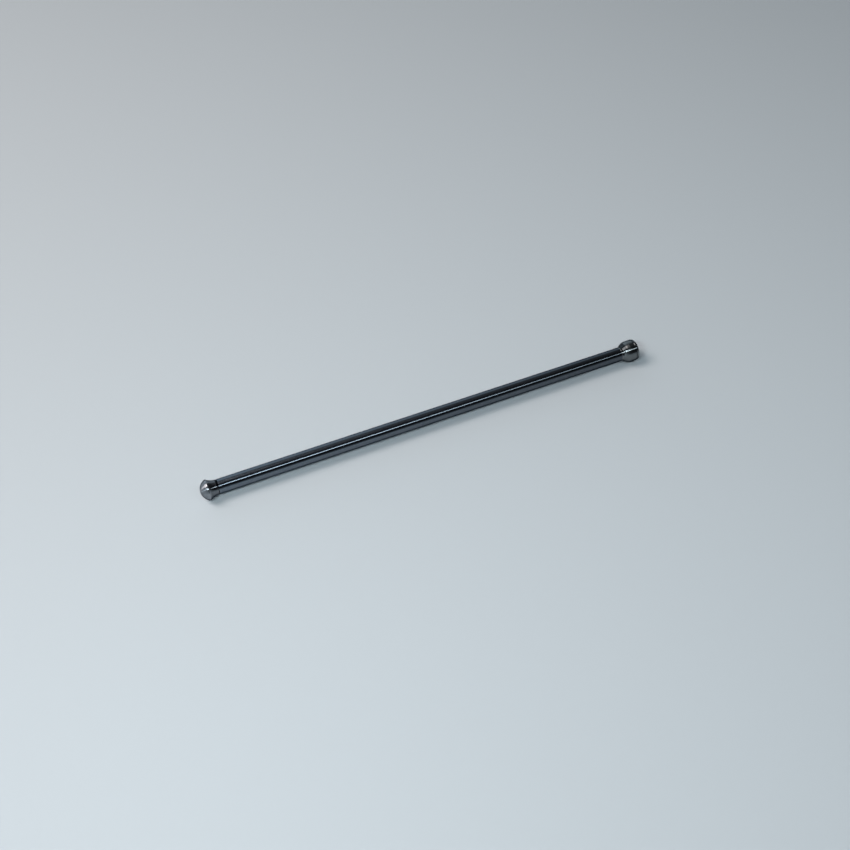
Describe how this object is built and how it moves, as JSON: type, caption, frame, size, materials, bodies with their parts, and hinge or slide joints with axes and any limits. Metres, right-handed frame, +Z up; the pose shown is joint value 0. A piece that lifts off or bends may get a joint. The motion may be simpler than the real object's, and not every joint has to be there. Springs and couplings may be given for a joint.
{
  "type": "engine pushrod",
  "caption": "Slim steel engine pushrod: a tube with a domed ball end and a wider cup end whose socket takes a rocker's ball.",
  "frame": {"origin": "on the surface that the rod lies on, under the middle of its length", "axes": "+X along the rod from the ball end to the cup, +Z up"},
  "size_m": [0.322, 0.0154, 0.0155],
  "materials": {
    "tube_steel": "dark, burnished",
    "ball_steel": "dark, polished",
    "cup_steel": "dark, burnished"
  },
  "bodies": {
    "root": {"tube": "tube_steel", "ball_end": "ball_steel", "cup_end": "cup_steel"}
  },
  "joints": []
}
